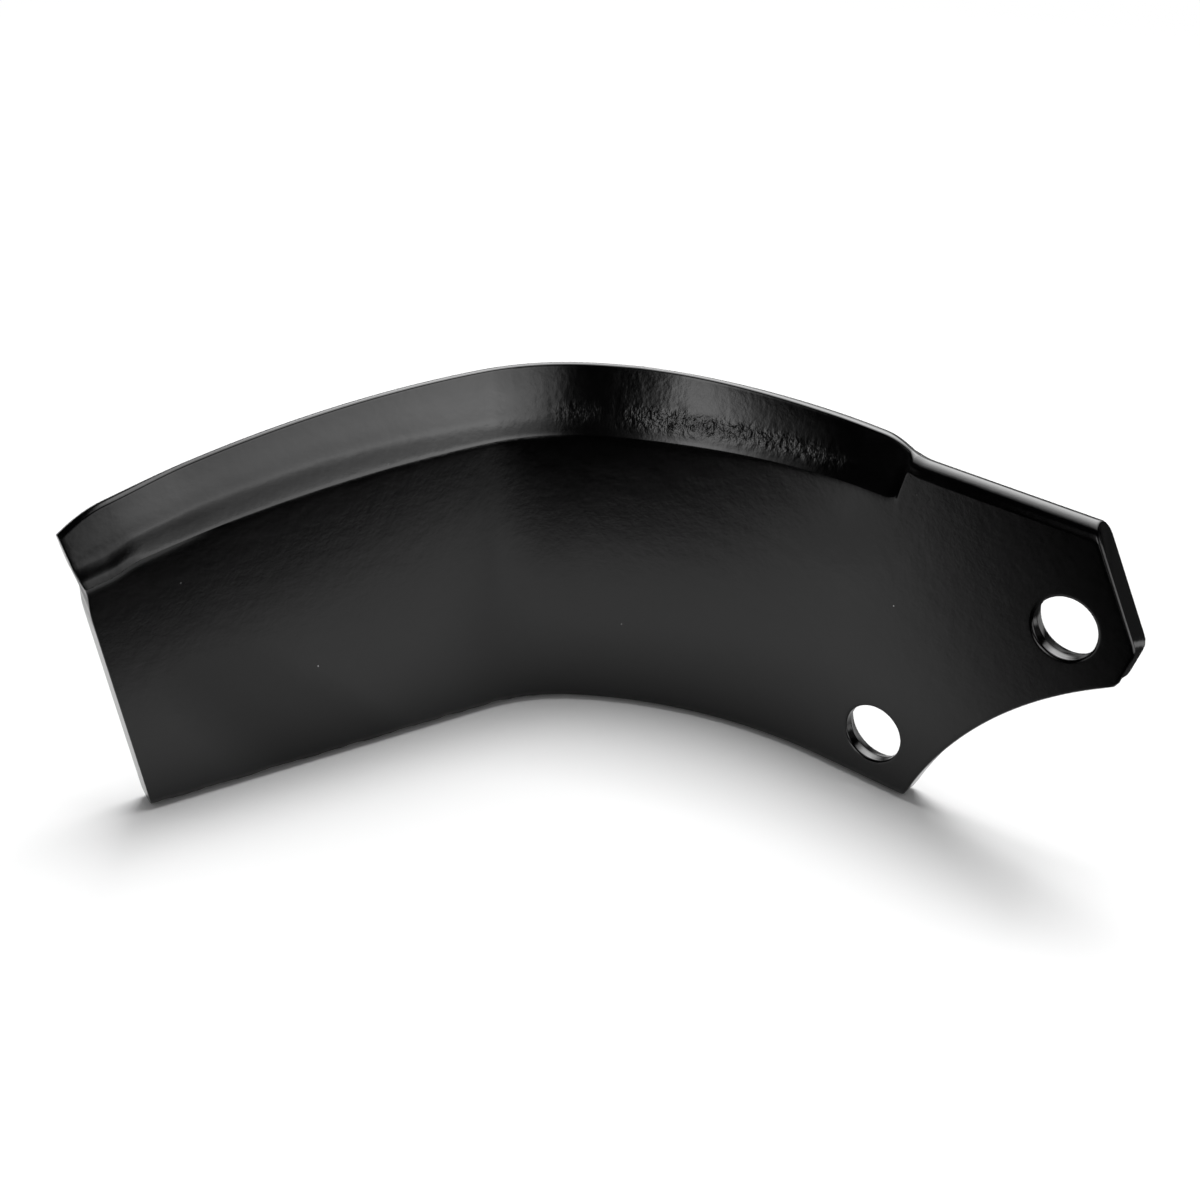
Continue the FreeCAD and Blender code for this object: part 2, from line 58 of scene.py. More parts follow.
# Cutting edge: its peak, its fall towards the shoulder, along the leg and at the tip, and the bevel under it.
PEAK_Z = FLOOR + 84.5
PEAK_RUN = 50
RISE = 1.95
RISE_RUN = 53
KICK = 1.6
KICK_END = -3
KICK_RUN = 7
LEG_FALL = 570.0
TIP_FALL = 38.0
TIP_START = BEND_RUN + LEG + 1.8
BAND = 15
BAND_LESS = 0.9
BAND_RUN = 59.8
BAND_FALL_SHARE = 0.82
TIP_LAP = 1.2
LAND = 1.8
LAND_MORE = 1.2
LAND_TILT = 0.2
LIP_SOFT = 0.5
LIP_DROP = 0.16
HOLLOW = 0.35
FOOT_ROLL = 0.55
FOOT_ROLL_SLOPE = 0.33
CROWN = 0.27
CROWN_SHARE = 0.09
BACK_BULGE = 0.1
BACK_DROP = 0.15
BACK_SOFT = 0.55
BACK_SOFT_MORE = 1.9
BACK_SOFT_RUN = 8
SHOULDER_SOFT = 2.45
CONIC_WEIGHT = 0.8

# Shoulder between the full round of the shank and the bevel.
ROUND_END = -15.0
SHOULDER_FAR = -11.6
SHOULDER = -9.8
SHOULDER_LIFT_RUN = 2.6
RAISED = 0.4
RAISED_POWER = 2.3
BAND_GAP = 3.3
FRONT_R = 2.98
RULED_OFF = -1.5

# Sheared shank end, seen as x for each height; its scallop is round the rotor's axis.
BOLT_T = math.radians(49.4)
HOLE_REACH = 28.5
HOLE_R = 6.75
HOLES = [(HOLE_REACH * math.cos(BOLT_T), HOLE_REACH * math.sin(BOLT_T), 1.0),
         (-HOLE_REACH * math.cos(BOLT_T), -HOLE_REACH * math.sin(BOLT_T), 1.6)]
SHEAR = 0.65
ROTOR_REACH = 94.8
SCALLOP_R = 85.5
END_LEAN = math.radians(30)
CLIP_LEAN = math.radians(-14)
END_REACH = 39.9
CLIP_REACH = 26.9
HIGH_R = 4
LOW_R = 3
HEEL_R = 1.5
OUTLINE_TOP = 46.0

# Tip face: leans back more above the knee, with a shallow notch.
KNEE = 56
LOWER_LEAN = math.tan(math.radians(8.9))
UPPER_LEAN = math.tan(math.radians(12.4))
NOTCH = 0.6
NOTCH_Z = 20.5
TIP_SOFT = 0.3

# Runs where the rings change their spacing, and rings over the tip.
MOTTLE_END = 76.0
RUN_A = 148.0
TIP_STEPS = 26
COLUMNS = 48

# Steps along each stretch of the section round the bar.
N_LOW, N_BACK, N_CORNER, N_LAND, N_LIP, N_BEVEL, N_FRONT = 18, 58, 6, 8, 6, 32, 56
LIP_AT = N_LOW + N_BACK + N_CORNER + N_LAND + N_LIP
FOOT = LIP_AT + N_BEVEL
COUNT = FOOT + N_FRONT

# Share of the way down the bevel at each row of a section, and each row's part in the lap at the tip.
PART = np.zeros(COUNT)
PART[LIP_AT:FOOT] = np.arange(N_BEVEL) / N_BEVEL
PART[FOOT] = 1.0
LAP = PART.copy()
LAP[FOOT + 1] = 0.45
LAP[FOOT + 2] = 0.12

# Unevenness of the forging: swell of the lower bevel, lap and waves at the tip, ragged edge under the leg.
LEG_FROM = 60
SWELL = 0.10
SWELL_LEG = 0.13
SWELL_ROW = 0.79
SWELL_ROW_LEG = 0.16
SWELL_TALL = 0.17
LAP_OUT = 0.5
LAP_RUN = 26
LOW_WAVE = 0.22
LOW_WAVE_Z = 1.6
HIGH_WAVE = 0.05
HIGH_WAVE_Z = 4.4
RAG = 0.45

# Hammer marks: the row they form on the bevel, their numbers, and a stretch of the run with few dents.
MARK_ROW = 0.68
MARK_TALL = 0.16
BIG_MARKS = 26
BIG_STEP = 2.05
SMALL_DENTS = 110
STREAKS = 24
QUIET_START = 51
QUIET_END = 60
QUIET_SHARE = 0.15


def ease(v):
    """Smooth step from 0 to 1."""
    v = np.clip(v, 0.0, 1.0)
    return v * v * (3 - 2 * v)


def bell(v, middle, wide):
    """Bell curve of height 1."""
    return np.exp(-((v - middle) / wide) ** 2)


def steps(count):
    """Column of equal steps from 0 to 1."""
    return np.linspace(0, 1, count + 1)[:, None]


def along(run):
    """Point on the concave face and its turn at each run."""
    run = np.asarray(run, float)
    gentle = np.clip(run, 0, GENTLE_RUN) / GENTLE_R
    turn = np.minimum(gentle + np.maximum(run - GENTLE_RUN, 0) / TIGHT_R, FULL_T)
    straight = np.maximum(run - BEND_RUN, 0)
    gentle_y = -THICK - GENTLE_R
    x = np.where(run > 0, BEND_X - GENTLE_R * np.sin(gentle), BEND_X - np.minimum(run, 0))
    y = np.where(run > 0, gentle_y + GENTLE_R * np.cos(gentle), -THICK)
    tight = run > GENTLE_RUN
    tight_x = BEND_X - (GENTLE_R - TIGHT_R) * math.sin(GENTLE_T)
    tight_y = gentle_y + (GENTLE_R - TIGHT_R) * math.cos(GENTLE_T)
    x = np.where(tight, tight_x - TIGHT_R * np.sin(turn) - straight * np.cos(turn), x)
    y = np.where(tight, tight_y + TIGHT_R * np.cos(turn) - straight * np.sin(turn), y)
    return x, y, turn


def place(run, off, z):
    x, y, turn = along(run)
    return np.stack([x - off * np.sin(turn), y + off * np.cos(turn), z], -1)


def edge_fall(run):
    """How far the cutting edge has come down along the leg."""
    return np.maximum(run - BEND_RUN, 0) ** 2 / LEG_FALL


def edge_top(run):
    """Height of the cutting edge."""
    before_peak = RISE * np.maximum(PEAK_RUN - run, 0) / RISE_RUN
    kick = KICK * np.minimum((run - KICK_END) / KICK_RUN, 0) ** 2
    past = np.maximum(run - TIP_START, 0) ** 2 / TIP_FALL
    return PEAK_Z - (before_peak + kick) - edge_fall(run) - past


def band_bottom(run):
    """Height of the foot of the bevel."""
    lap = TIP_LAP * ease((run - TIP_START) / 7 + 0.7)
    narrow = BAND_LESS * ease((PEAK_RUN - run) / BAND_RUN)
    return PEAK_Z - (BAND - narrow + BAND_FALL_SHARE * edge_fall(run) + lap)


def land_width(run):
    """The land is widest near the shoulder and near the tip."""
    near = np.maximum(ease(1 - (run - 10) / 35), ease((run - TIP_START) / 18 + 1))
    return LAND + LAND_MORE * near


def conic(a, b, c, n):
    """A round from a to c that leaves along the corner point b."""
    t = steps(n)
    w = CONIC_WEIGHT
    num = (1 - t) ** 2 * a[None] + 2 * w * t * (1 - t) * b[None] + t ** 2 * c[None]
    return num / ((1 - t) ** 2 + 2 * w * t * (1 - t) + t ** 2)


def arc(centre_off, centre_z, radius, start, stop, n):
    """Rows of off and height along a round."""
    t = np.linspace(start, stop, n + 1)
    return np.stack([centre_off + radius * np.cos(t), centre_z + radius * np.sin(t)], -1)


def left_of(first, last):
    """Unit vector square to the line between two points."""
    across = np.array([first[1] - last[1], -(first[0] - last[0])])
    return across / np.linalg.norm(across)


def bevel_section(run):
    """Lip, outer lip, corner and hollow bevel beyond the shoulder."""
    at = np.array(run)
    top = float(edge_top(at))
    near_shoulder = max(1 - (run - SHOULDER) / SHOULDER_LIFT_RUN, 0)
    low = float(band_bottom(at)) + near_shoulder ** 2
    inner = THICK - float(land_width(at))
    span = math.hypot(inner, top - low)
    lip = np.array([inner * (1 - LIP_SOFT / span), top - LIP_SOFT / span * (top - low)])
    lip_out = np.array([inner + LIP_SOFT, top - LIP_DROP])
    corner = np.array([inner, top - LIP_DROP])
    foot = np.array([0.0, low])
    t = steps(N_BEVEL)
    bevel = lip + (foot - lip) * t + left_of(lip, foot) * (HOLLOW * 4 * t * (1 - t))
    return lip, lip_out, corner, bevel


def share_of(run):
    """How far a run between the full round and the bevel has come, from 0 to 1."""
    return min(max((run - SHOULDER_FAR) / (SHOULDER - SHOULDER_FAR), 0.0), 1.0)


def land_shape(soft_back, lip_out):
    """Back corner and crowned land."""
    wide = THICK - soft_back - lip_out[0]
    start_land = np.array([THICK - soft_back, lip_out[1] - LAND_TILT * wide])
    back_corner = np.array([THICK, start_land[1] - BACK_BULGE])
    start_back = np.array([THICK, start_land[1] - BACK_DROP - soft_back])
    back_round = conic(start_back, back_corner, start_land, N_CORNER)
    t = steps(N_LAND)
    flat = start_land + (lip_out - start_land) * t
    flat[:, 1] += (min(CROWN, CROWN_SHARE * wide) * 4 * t * (1 - t))[:, 0]
    return back_round, flat


SHANK_BAND = float(band_bottom(np.array(SHOULDER)))
SHOULDER_TOP = float(edge_top(np.array(SHOULDER)))
FORMED_BACK, _ = land_shape(SHOULDER_SOFT, np.array([THICK - (LAND + LAND_MORE) + LIP_SOFT, -LIP_DROP]))


def forming_back(run, top):
    """Back corner on its way from the full round to the land."""
    full = arc(ROUND_R, -ROUND_R, ROUND_R, 0, math.pi / 2, N_CORNER)
    share = float(ease((run - ROUND_END) / (SHOULDER - ROUND_END)))
    return full * (1 - share) + FORMED_BACK * share + np.array([0.0, top])


def front_quarter(top):
    """Front half of the round along the top, a hair narrower than the back half."""
    return arc(0, 0, 1, math.pi / 2, math.pi, N_LIP) * (FRONT_R, ROUND_R) + (FRONT_R, top - ROUND_R)


def rounded_rows(run):
    """Back corner, top, front round and flat below it where the bar's edge is still round."""
    come = max((run - ROUND_END) / (SHOULDER_FAR - ROUND_END), 0)
    top = FLOOR + WIDTH + RAISED * come ** RAISED_POWER
    back_round = forming_back(run, top)
    flat_top = back_round[-1] + (np.array([FRONT_R, top]) - back_round[-1]) * steps(N_LAND)
    foot = SHANK_BAND + (top - BAND_GAP - SHANK_BAND) * ease(come)
    bevel = np.array([0.0, top - ROUND_R]) + np.array([0.0, foot - top + ROUND_R]) * steps(N_BEVEL)
    return back_round, flat_top, front_quarter(top), bevel


def bevelled_rows(run):
    """The same stretches where the edge is forged, and on the ruled shoulder before it."""
    at = max(run, SHOULDER)
    lip, lip_out, corner, bevel = bevel_section(at)
    front_round = conic(lip_out, corner, lip, N_LIP)
    share = share_of(run)
    if share == 1:
        soft_back = BACK_SOFT + BACK_SOFT_MORE * (1 - float(ease((at - SHOULDER) / BACK_SOFT_RUN)))
        back_round, flat_top = land_shape(soft_back, lip_out)
        return back_round, flat_top, front_round, bevel
    old_top = FLOOR + WIDTH + RAISED
    back_round = forming_back(run, old_top + (SHOULDER_TOP - old_top) * share)
    front_round = front_quarter(old_top) * (1 - share) + front_round * share
    flat_top = back_round[-1] + (front_round[0] - back_round[-1]) * steps(N_LAND)
    lip_new, foot_new = bevel[0], bevel[-1]
    slope = (lip_new[1] - foot_new[1]) / (lip_new[0] - foot_new[0])
    start_old = np.array([RULED_OFF, old_top - 3.05])
    start_new = np.array([RULED_OFF, foot_new[1] + RULED_OFF * slope * 0.85])
    a = start_old * (1 - share) + start_new * share
    b = np.array([0.0, old_top - ROUND_R]) * (1 - share) + lip_new * share
    cut = -a[0] / (b[0] - a[0])
    t = np.linspace(1, cut, N_BEVEL + 1)[:, None]
    bow = HOLLOW * share * 4 * (1 - t) * (t - cut) / max((1 - cut) ** 2, 1e-6)
    return back_round, flat_top, front_round, a + (b - a) * t + left_of(b, a) * bow


def roll_foot(bevel, front, mild):
    """The foot of the bevel rolls softly into the flat."""
    crease = bevel[-1][1]
    middle = bevel[N_BEVEL // 2]
    slope = (middle[0] - bevel[-1][0]) / (middle[1] - crease + 1e-9)
    slope = min(max(slope, 0), FOOT_ROLL_SLOPE)

    def rolled(rows, share):
        lift = rows[:, 1] - crease
        extra = (np.sqrt(lift ** 2 + mild ** 2) - np.abs(lift)) / 2 * slope
        extra = extra * np.exp(-(lift / (5 * mild)) ** 2)
        moved = np.stack([rows[:, 0] + extra, rows[:, 1]], -1)
        return rows * (1 - share) + moved * share

    fade = np.clip((front[:, 1] - FLOOR - ROUND_R) / 12, 0, 1)[:, None]
    return rolled(bevel, steps(N_BEVEL)), rolled(front, fade)


def section(run):
    """Closed section at one run as COUNT rows of off and height."""
    low = arc(ROUND_R, FLOOR + ROUND_R, ROUND_R, math.pi, 2 * math.pi, N_LOW)
    shape = rounded_rows if run <= SHOULDER_FAR + 1e-9 else bevelled_rows
    back_round, flat_top, front_round, bevel = shape(run)
    back = low[-1] + (np.array([THICK, back_round[0][1]]) - low[-1]) * steps(N_BACK)
    front = bevel[-1] + (low[0] - bevel[-1]) * steps(N_FRONT) ** 1.25
    mild = FOOT_ROLL * share_of(run)
    if mild > 0:
        bevel, front = roll_foot(bevel, front, mild)
    rows = [low, back, back_round, flat_top, front_round, bevel, front]
    return np.concatenate([row[:-1] for row in rows])


def sections_at(runs):
    """Section rows where every point has its own run."""
    fine = np.linspace(runs.min() - 0.01, runs.max() + 0.01, 60)
    floor_as_reflected = np.stack([section(s) for s in fine])
    pos = np.clip((runs - fine[0]) / (fine[1] - fine[0]), 0, len(fine) - 1.001)
    i = pos.astype(int)
    f = (pos - i)[:, None]
    k = np.arange(COUNT)
    return floor_as_reflected[i, k] * (1 - f) + floor_as_reflected[i + 1, k] * f


def polar(centre, reach, turn):
    return centre[0] + reach * math.cos(turn), centre[1] + reach * math.sin(turn)


def outline_points():
    """Outline of the sheared end from heel to top: heel round, scallop, low round, clip, high round, end."""
    rotor = (ROTOR_REACH * math.sin(BOLT_T), -ROTOR_REACH * math.cos(BOLT_T))
    end_in, clip_in, low_in = END_REACH - HIGH_R, CLIP_REACH - HIGH_R, CLIP_REACH - LOW_R
    sweep = math.sin(END_LEAN - CLIP_LEAN)
    high_c = ((clip_in * math.sin(END_LEAN) - end_in * math.sin(CLIP_LEAN)) / sweep,
              (end_in * math.cos(CLIP_LEAN) - clip_in * math.cos(END_LEAN)) / sweep)
    across = rotor[0] * math.cos(CLIP_LEAN) + rotor[1] * math.sin(CLIP_LEAN)
    beside = rotor[1] * math.cos(CLIP_LEAN) - rotor[0] * math.sin(CLIP_LEAN)
    slide = beside + math.sqrt((SCALLOP_R + LOW_R) ** 2 - (low_in - across) ** 2)
    low_c = (low_in * math.cos(CLIP_LEAN) - slide * math.sin(CLIP_LEAN),
             low_in * math.sin(CLIP_LEAN) + slide * math.cos(CLIP_LEAN))
    low_turn = math.atan2(rotor[1] - low_c[1], rotor[0] - low_c[0])
    heel_z = FLOOR + HEEL_R
    heel_c = (rotor[0] - math.sqrt((SCALLOP_R + HEEL_R) ** 2 - (heel_z - rotor[1]) ** 2), heel_z)
    heel_turn = math.atan2(rotor[1] - heel_c[1], rotor[0] - heel_c[0])
    arcs = ((heel_c, HEEL_R, -math.pi / 2, heel_turn, 24),
            (rotor, SCALLOP_R, heel_turn + math.pi, low_turn + math.pi, 160),
            (low_c, LOW_R, low_turn, CLIP_LEAN, 30),
            (high_c, HIGH_R, CLIP_LEAN, END_LEAN, 40))
    rows = [polar(centre, radius, t) for centre, radius, start, stop, count in arcs
            for t in np.linspace(start, stop, count)]
    rows.append(((END_REACH - OUTLINE_TOP * math.sin(END_LEAN)) / math.cos(END_LEAN), OUTLINE_TOP))
    return np.array(rows)


OUTLINE = outline_points()


def end_x(z):
    order = np.argsort(OUTLINE[:, 1], kind="stable")
    return np.interp(z, OUTLINE[order, 1], OUTLINE[order, 0])


def end_slope(z):
    return (end_x(z + 0.05) - end_x(z - 0.05)) / 0.1


def tip_run(z):
    """Run of the tip face at each height."""
    h = z - FLOOR
    lean = np.where(h < KNEE, h * LOWER_LEAN, KNEE * LOWER_LEAN + (h - KNEE) * UPPER_LEAN)
    return BEND_RUN + LEG + lean - NOTCH * bell(z, NOTCH_Z, 3.2)


def waves(run, seed, count, low, high):
    """Smooth unevenness from a few sines, about one in size."""
    r = np.random.default_rng(seed)
    total = np.zeros_like(run)
    for _ in range(count):
        k = 2 * math.pi / r.uniform(low, high)
        t = r.uniform(0, math.pi)
        total += np.sin(k * (run * math.cos(t)) + r.uniform(0, 6.3))
    return total / math.sqrt(count)


def dents(run, part):
    """Depth of the hammer marks, dents and streaks on the bevel; part is 0 at the land and 1 at the foot."""
    r = np.random.default_rng(21)
    depth = np.zeros_like(run)

    def mark(centre, wide, middle, tall, amount):
        return amount * np.exp(-(((run - centre) / wide) ** 2 + ((part - middle) / tall) ** 2))

    for n in range(BIG_MARKS):
        centre = -4 + n * BIG_STEP + r.uniform(-0.7, 0.7)
        depth += mark(centre, r.uniform(1.0, 1.8), r.uniform(0.62, 0.80), r.uniform(0.08, 0.15),
                      r.uniform(0.03, 0.1))
    for n in range(SMALL_DENTS):
        centre = r.uniform(-1, 74)
        share = QUIET_SHARE if QUIET_START < centre < QUIET_END else 1.0
        depth += mark(centre, r.uniform(0.55, 1.15), r.normal(MARK_ROW, 0.09), r.uniform(0.035, 0.07),
                      r.uniform(-0.035, 0.06) * share)
    for n in range(STREAKS):
        centre = 50 + n * 1.35 + r.uniform(-0.5, 0.5)
        wide = r.uniform(0.5, 0.9)
        depth += r.uniform(0.004, 0.02) * bell(run, centre, wide)
    return depth * np.sin(np.pi * np.clip(part, 0, 1)) ** 0.5


def inset(rows, depth):
    """Section rows moved in from the outer surface by depth for the rounding at an end."""
    d = np.roll(rows, -1, 0) - np.roll(rows, 1, 0)
    n = np.stack([d[:, 1], -d[:, 0]], -1)
    n /= np.maximum(np.linalg.norm(n, axis=1, keepdims=True), 1e-9)
    return rows - n * depth


ring_rows = []
grain_rows = []


def add_ring(runs, rows, shift=0.0):
    """One ring of the skin, with the unevenness of the forging."""
    runs = np.zeros(COUNT) + runs
    if shift:
        rows = inset(rows, shift)
    off, z = rows[:, 0], rows[:, 1]
    on_bevel = PART > 0
    off = off + np.where((runs > SHOULDER - 0.5) & on_bevel, dents(runs, PART), 0)
    # the lower part of the bevel is rolled over a little, more so along the leg
    on_leg = ease((runs - LEG_FROM) / 65)
    swell = (SWELL + SWELL_LEG * on_leg) * ease((runs + 4) / 14) * ease((1 - PART) / 0.12) * on_bevel
    off = off + swell * bell(PART, SWELL_ROW - SWELL_ROW_LEG * on_leg, SWELL_TALL)
    # lap of metal over the flat at the tip, with two shallow waves above it
    above_foot = z - band_bottom(runs)
    off = off - ease((runs - TIP_START + LAP_RUN) / LAP_RUN) * LAP_OUT * LAP
    low_wave = ease((runs - TIP_START + 7) / 8) * on_bevel * LOW_WAVE
    off = off - low_wave * bell(above_foot, LOW_WAVE_Z, 1.1)
    high_wave = ease((runs - 142) / 14) * on_bevel * HIGH_WAVE
    off = off + high_wave * bell(above_foot, HIGH_WAVE_Z, 1.3)
    # ragged rolled edge under the leg
    low_part = np.clip(1 - (z - FLOOR) / ROUND_R, 0, 1)
    rag = ease((runs - LEG_FROM) / 20) * low_part * (waves(runs, 3, 9, 1.6, 9) * 0.5 + 0.5)
    z = z + RAG * np.clip(rag, 0, 1)
    ring_rows.append(place(runs, off, z))
    grain_rows.append(np.stack([runs / 1000, z / 1000, PART], -1))


# Rings from the sheared end, over the rounding of its edge, along the shank and the shoulder to the tip.
shank_rows = section(-40.0)
reach_x = end_x(shank_rows[:, 1])
tilt = np.sqrt(1 + end_slope(shank_rows[:, 1]) ** 2)
for angle in np.linspace(0, math.pi / 2, 5):
    back = SHEAR * (1 - math.cos(angle)) * tilt
    add_ring(BEND_X - (reach_x - back), shank_rows, SHEAR * (1 - math.sin(angle)))
for i in range(1, COLUMNS + 1):
    x = (reach_x - SHEAR * tilt) * (1 - i / COLUMNS) + (BEND_X - ROUND_END) * i / COLUMNS
    add_ring(BEND_X - x, shank_rows)
for start, stop, count in ((ROUND_END, SHOULDER_FAR, 6), (SHOULDER_FAR, SHOULDER, 9),
                           (SHOULDER, MOTTLE_END, 144), (MOTTLE_END, RUN_A, 70)):
    for run in np.linspace(start, stop, count)[1:]:
        add_ring(run, section(run))
for i in range(1, TIP_STEPS + 1):
    runs = np.full(COUNT, RUN_A)
    for _ in range(8):
        rows = sections_at(runs)
        runs = RUN_A + (tip_run(rows[:, 1]) - TIP_SOFT - RUN_A) * i / TIP_STEPS
    rows = sections_at(runs)
    add_ring(runs, rows)
for angle in np.linspace(0, math.pi / 2, 4)[1:]:
    runs = tip_run(rows[:, 1]) - TIP_SOFT + TIP_SOFT * math.sin(angle)
    add_ring(runs, rows, TIP_SOFT * (1 - math.cos(angle)))

rings = np.stack(ring_rows) / 1000.0
grains = np.stack(grain_rows).reshape(-1, 3)


def end_faces(ring, flip):
    """Quads that close an end: each left point is joined to its partner at the same height on the right."""
    faces = []
    low_mid = N_LOW // 2
    left = [(low_mid - i) % COUNT for i in range(0, COUNT // 2 + 1)]
    right = [(low_mid + i) % COUNT for i in range(0, COUNT // 2 + 1)]
    for i in range(len(left) - 1):
        quad = [ring * COUNT + v for v in (left[i], right[i], right[i + 1], left[i + 1])]
        quad = [v for n, v in enumerate(quad) if v not in quad[:n]]
        if len(quad) > 2:
            faces.append(quad[::-1] if flip else quad)
    return faces


def make_mesh(name):
    """Closed skin over all rings, with the hammer marks' strength and the grain's place at each point."""
    count = len(rings)
    faces = []
    for r in range(count - 1):
        for k in range(COUNT):
            n = (k + 1) % COUNT
            faces.append([r * COUNT + k, r * COUNT + n, (r + 1) * COUNT + n, (r + 1) * COUNT + k])
    faces += end_faces(0, False)
    faces += end_faces(count - 1, True)
    mesh = bpy.data.meshes.new(name)
    mesh.from_pydata(rings.reshape(-1, 3).tolist(), [], faces)
    run, part = grains[:, 0] * 1000, grains[:, 2]
    row = bell(part, MARK_ROW, MARK_TALL) * ease((run + 2) / 14) * ease((72 - run) / 12)
    row = row * (1 - 0.85 * bell(run, 55, 5))
    above = (part > 0.02) * (part < 0.93) * ease((run - 8) / 12) * ease((100 - run) / 40) * 0.12
    hammer = mesh.attributes.new("hammer", "FLOAT", "POINT")
    hammer.data.foreach_set("value", np.maximum(row, above).astype(np.float32))
    grain = mesh.attributes.new("grain", "FLOAT_VECTOR", "POINT")
    grain.data.foreach_set("vector", grains.astype(np.float32).ravel())
    bm = bmesh.new()
    bm.from_mesh(mesh)
    bmesh.ops.recalc_face_normals(bm, faces=bm.faces)
    bm.to_mesh(mesh)
    bm.free()
    mesh.update()
    return mesh


def add_object(name, data):
    obj = bpy.data.objects.new(name, data)
    bpy.context.scene.collection.objects.link(obj)
    return obj


blade = add_object("blade_forged", make_mesh("blade_forged"))


def open_face(bm, x, z, y, reach):
    """Takes the quads of one flat face away round a hole and gives back the edges of the gap."""
    def near(v, limit):
        return math.hypot(v.co.x - x, v.co.z - z) < limit

    def flat(item):
        return all(abs(v.co.y - y) <= 0.00003 for v in item.verts)

    doomed = [face for face in bm.faces if flat(face) and any(near(v, reach) for v in face.verts)]
    bmesh.ops.delete(bm, geom=doomed, context="FACES")
    return [edge for edge in bm.edges
            if len(edge.link_faces) == 1 and flat(edge) and near(edge.verts[0], reach + 0.004)]


def drill(bm, x, z, flare):
    """One punched hole: rolled rim in front, burnished wall, then the wider breakout cone."""
    around = 112
    rim_wide, rim_deep = 0.85, 0.55
    cone_start = -3.35
    profile = []
    for t in np.linspace(0, math.pi / 2, 9):
        profile.append((HOLE_R + rim_wide * (1 - math.sin(t)), -THICK + rim_deep * (1 - math.cos(t))))
    profile += [(HOLE_R, -5.0), (HOLE_R, -4.2), (HOLE_R, -3.55), (HOLE_R + 0.07, cone_start)]
    for t in (0.2, 0.45, 0.7, 0.9):
        profile.append((HOLE_R + 0.07 + (flare - 0.1) * t, cone_start + 3.15 * t))
    profile += [(HOLE_R + flare, -0.12), (HOLE_R + flare + 0.1, -0.03), (HOLE_R + flare + 0.22, 0.0)]
    phases = np.random.default_rng(int(flare * 10)).uniform(0, 6.28, 5)
    loops = []
    for radius, y in profile:
        loop = []
        depth = (y + 3.3) / 3.3
        for i in range(around):
            t = 2 * math.pi * i / around
            ragged = 0.0
            if 0 < depth < 0.98:
                wobble = sum(math.sin((3 + 2 * n) * t + phases[n]) for n in range(5)) / 2
                ragged = 0.12 * math.sin(math.pi * depth) * wobble
            r = (radius + ragged) / 1000
            loop.append(bm.verts.new((x + r * math.cos(t), y / 1000, z + r * math.sin(t))))
        loops.append(loop)
    for face_y, loop in ((-THICK / 1000, loops[0]), (0.0, loops[-1])):
        outer = max(math.hypot(v.co.x - x, v.co.z - z) for v in loop)
        gap = open_face(bm, x, z, face_y, outer + 0.0004)
        ring = [bm.edges.new((loop[i], loop[(i + 1) % around])) for i in range(around)]
        bmesh.ops.triangle_fill(bm, edges=gap + ring, use_beauty=True, use_dissolve=False)
    for first, second in zip(loops[:-1], loops[1:]):
        for i in range(around):
            n = (i + 1) % around
            bm.faces.new((first[i], first[n], second[n], second[i]))


solid = bmesh.new()
solid.from_mesh(blade.data)
for x, z, flare in HOLES:
    drill(solid, x / 1000, z / 1000, flare)
bmesh.ops.delete(solid, geom=[v for v in solid.verts if not v.link_faces], context="VERTS")
bmesh.ops.recalc_face_normals(solid, faces=solid.faces)
solid.to_mesh(blade.data)
solid.free()

# smooth shading, with hard edges at steep corners and along the foot of the bevel
for polygon in blade.data.polygons:
    polygon.use_smooth = True
blade.data.set_sharp_from_angle(angle=math.radians(38))
spots = np.zeros(len(blade.data.vertices) * 3, np.float32)
blade.data.attributes["grain"].data.foreach_get("vector", spots)
spots = spots.reshape(-1, 3)
on_foot = (spots[:, 2] > 0.999) & (spots[:, 0] > SHOULDER / 1000)
for edge in blade.data.edges:
    if on_foot[edge.vertices[0]] and on_foot[edge.vertices[1]]:
        edge.use_edge_sharp = True
weighted = blade.modifiers.new("weighted", "WEIGHTED_NORMAL")
weighted.keep_sharp = True
weighted.weight = 50


# Materials
def nodes_of(name):
    material = bpy.data.materials.new(name)
    material.use_nodes = True
    material.node_tree.nodes.clear()
    return material, material.node_tree


def grey(value):
    return (value, value, value, 1)


def add_node(tree, kind, inputs=None, **settings):
    """A node with its settings, and its inputs by name or number, each a value or a socket to link from."""
    node = tree.nodes.new(kind)
    for key, value in settings.items():
        setattr(node, key, value)
    for key, value in (inputs or {}).items():
        if isinstance(value, bpy.types.NodeSocket):
            tree.links.new(value, node.inputs[key])
        else:
            node.inputs[key].default_value = value
    return node


def combined(tree, operation, first, second):
    """One value worked out from two."""
    return add_node(tree, "ShaderNodeMath", {0: first, 1: second}, operation=operation).outputs[0]


def ranged(tree, value, low, high, to_low=0.0, to_high=1.0, curve="LINEAR"):
    """A value taken from one range into another."""
    inputs = {"Value": value, "From Min": low, "From Max": high, "To Min": to_low, "To Max": to_high}
    return add_node(tree, "ShaderNodeMapRange", inputs, interpolation_type=curve).outputs[0]


def ramp_node(tree, source, stops, interpolation="EASE"):
    """Colour ramp over 0 to 1 with rows of position and colour."""
    node = add_node(tree, "ShaderNodeValToRGB", {"Fac": source})
    node.color_ramp.interpolation = interpolation
    marks = node.color_ramp.elements
    for mark, stop in ((marks[0], stops[0]), (marks[1], stops[-1])):
        mark.position = stop[0]
        mark.color = stop[1]
    for position, colour in stops[1:-1]:
        marks.new(position).color = colour
    return node.outputs["Color"]


def grey_ramp(tree, source, stops, interpolation="EASE"):
    return ramp_node(tree, source, [(position, grey(value)) for position, value in stops], interpolation)


